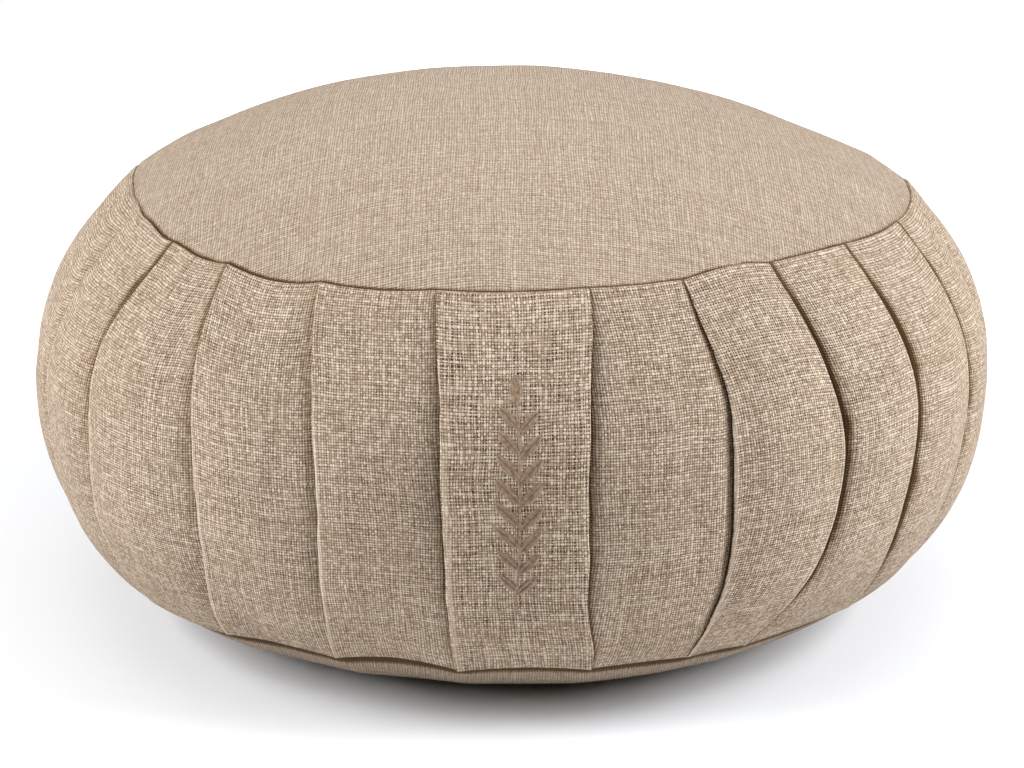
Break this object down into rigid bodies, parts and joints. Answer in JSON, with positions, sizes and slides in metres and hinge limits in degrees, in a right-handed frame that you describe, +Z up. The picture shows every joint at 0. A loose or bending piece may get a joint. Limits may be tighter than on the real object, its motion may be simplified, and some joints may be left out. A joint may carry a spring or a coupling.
{
  "type": "pleated meditation cushion",
  "caption": "Round filled floor cushion for meditation, with a knife-pleated linen side, a domed top panel and a raised centre-front strip.",
  "frame": {"origin": "on the surface that the cushion stands on, under the middle of its box", "axes": "+Z up through the crown; -Y is the front, where the centre strip is; +X to the right seen from the front"},
  "size_m": [0.3613, 0.3611, 0.1915],
  "materials": {
    "side_linen": "natural oatmeal linen in an open plain weave, matt",
    "round_linen": "natural oatmeal linen in a plain weave, matt, a little paler",
    "strip_linen": "natural oatmeal linen in a slightly coarser plain weave, matt, with tone-on-tone stitching"
  },
  "bodies": {
    "root": {"pleated_side": "side_linen", "top_panel": "round_linen", "bottom_panel": "round_linen", "front_strip": "strip_linen"}
  },
  "joints": []
}
